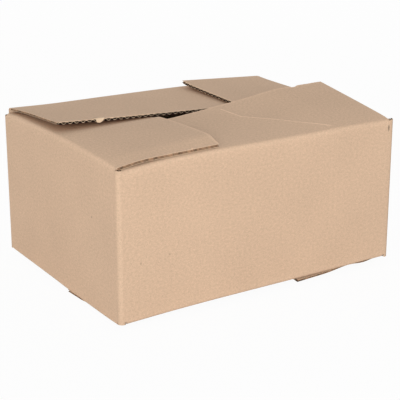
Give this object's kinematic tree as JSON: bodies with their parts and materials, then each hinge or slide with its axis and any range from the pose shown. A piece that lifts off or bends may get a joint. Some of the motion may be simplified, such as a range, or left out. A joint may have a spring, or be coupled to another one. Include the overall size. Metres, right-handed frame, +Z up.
{
  "type": "corrugated cardboard box",
  "caption": "Closed shipping carton of corrugated cardboard, with its top and bottom flaps tucked under one another in a ring.",
  "frame": {"origin": "centre of the footprint, on the surface that the carton stands on", "axes": "+X along the long walls, +Y to the back, +Z up"},
  "size_m": [0.31, 0.232, 0.1679],
  "materials": {
    "kraft_board": "matte"
  },
  "bodies": {
    "root": {"carton": "kraft_board"}
  },
  "joints": []
}
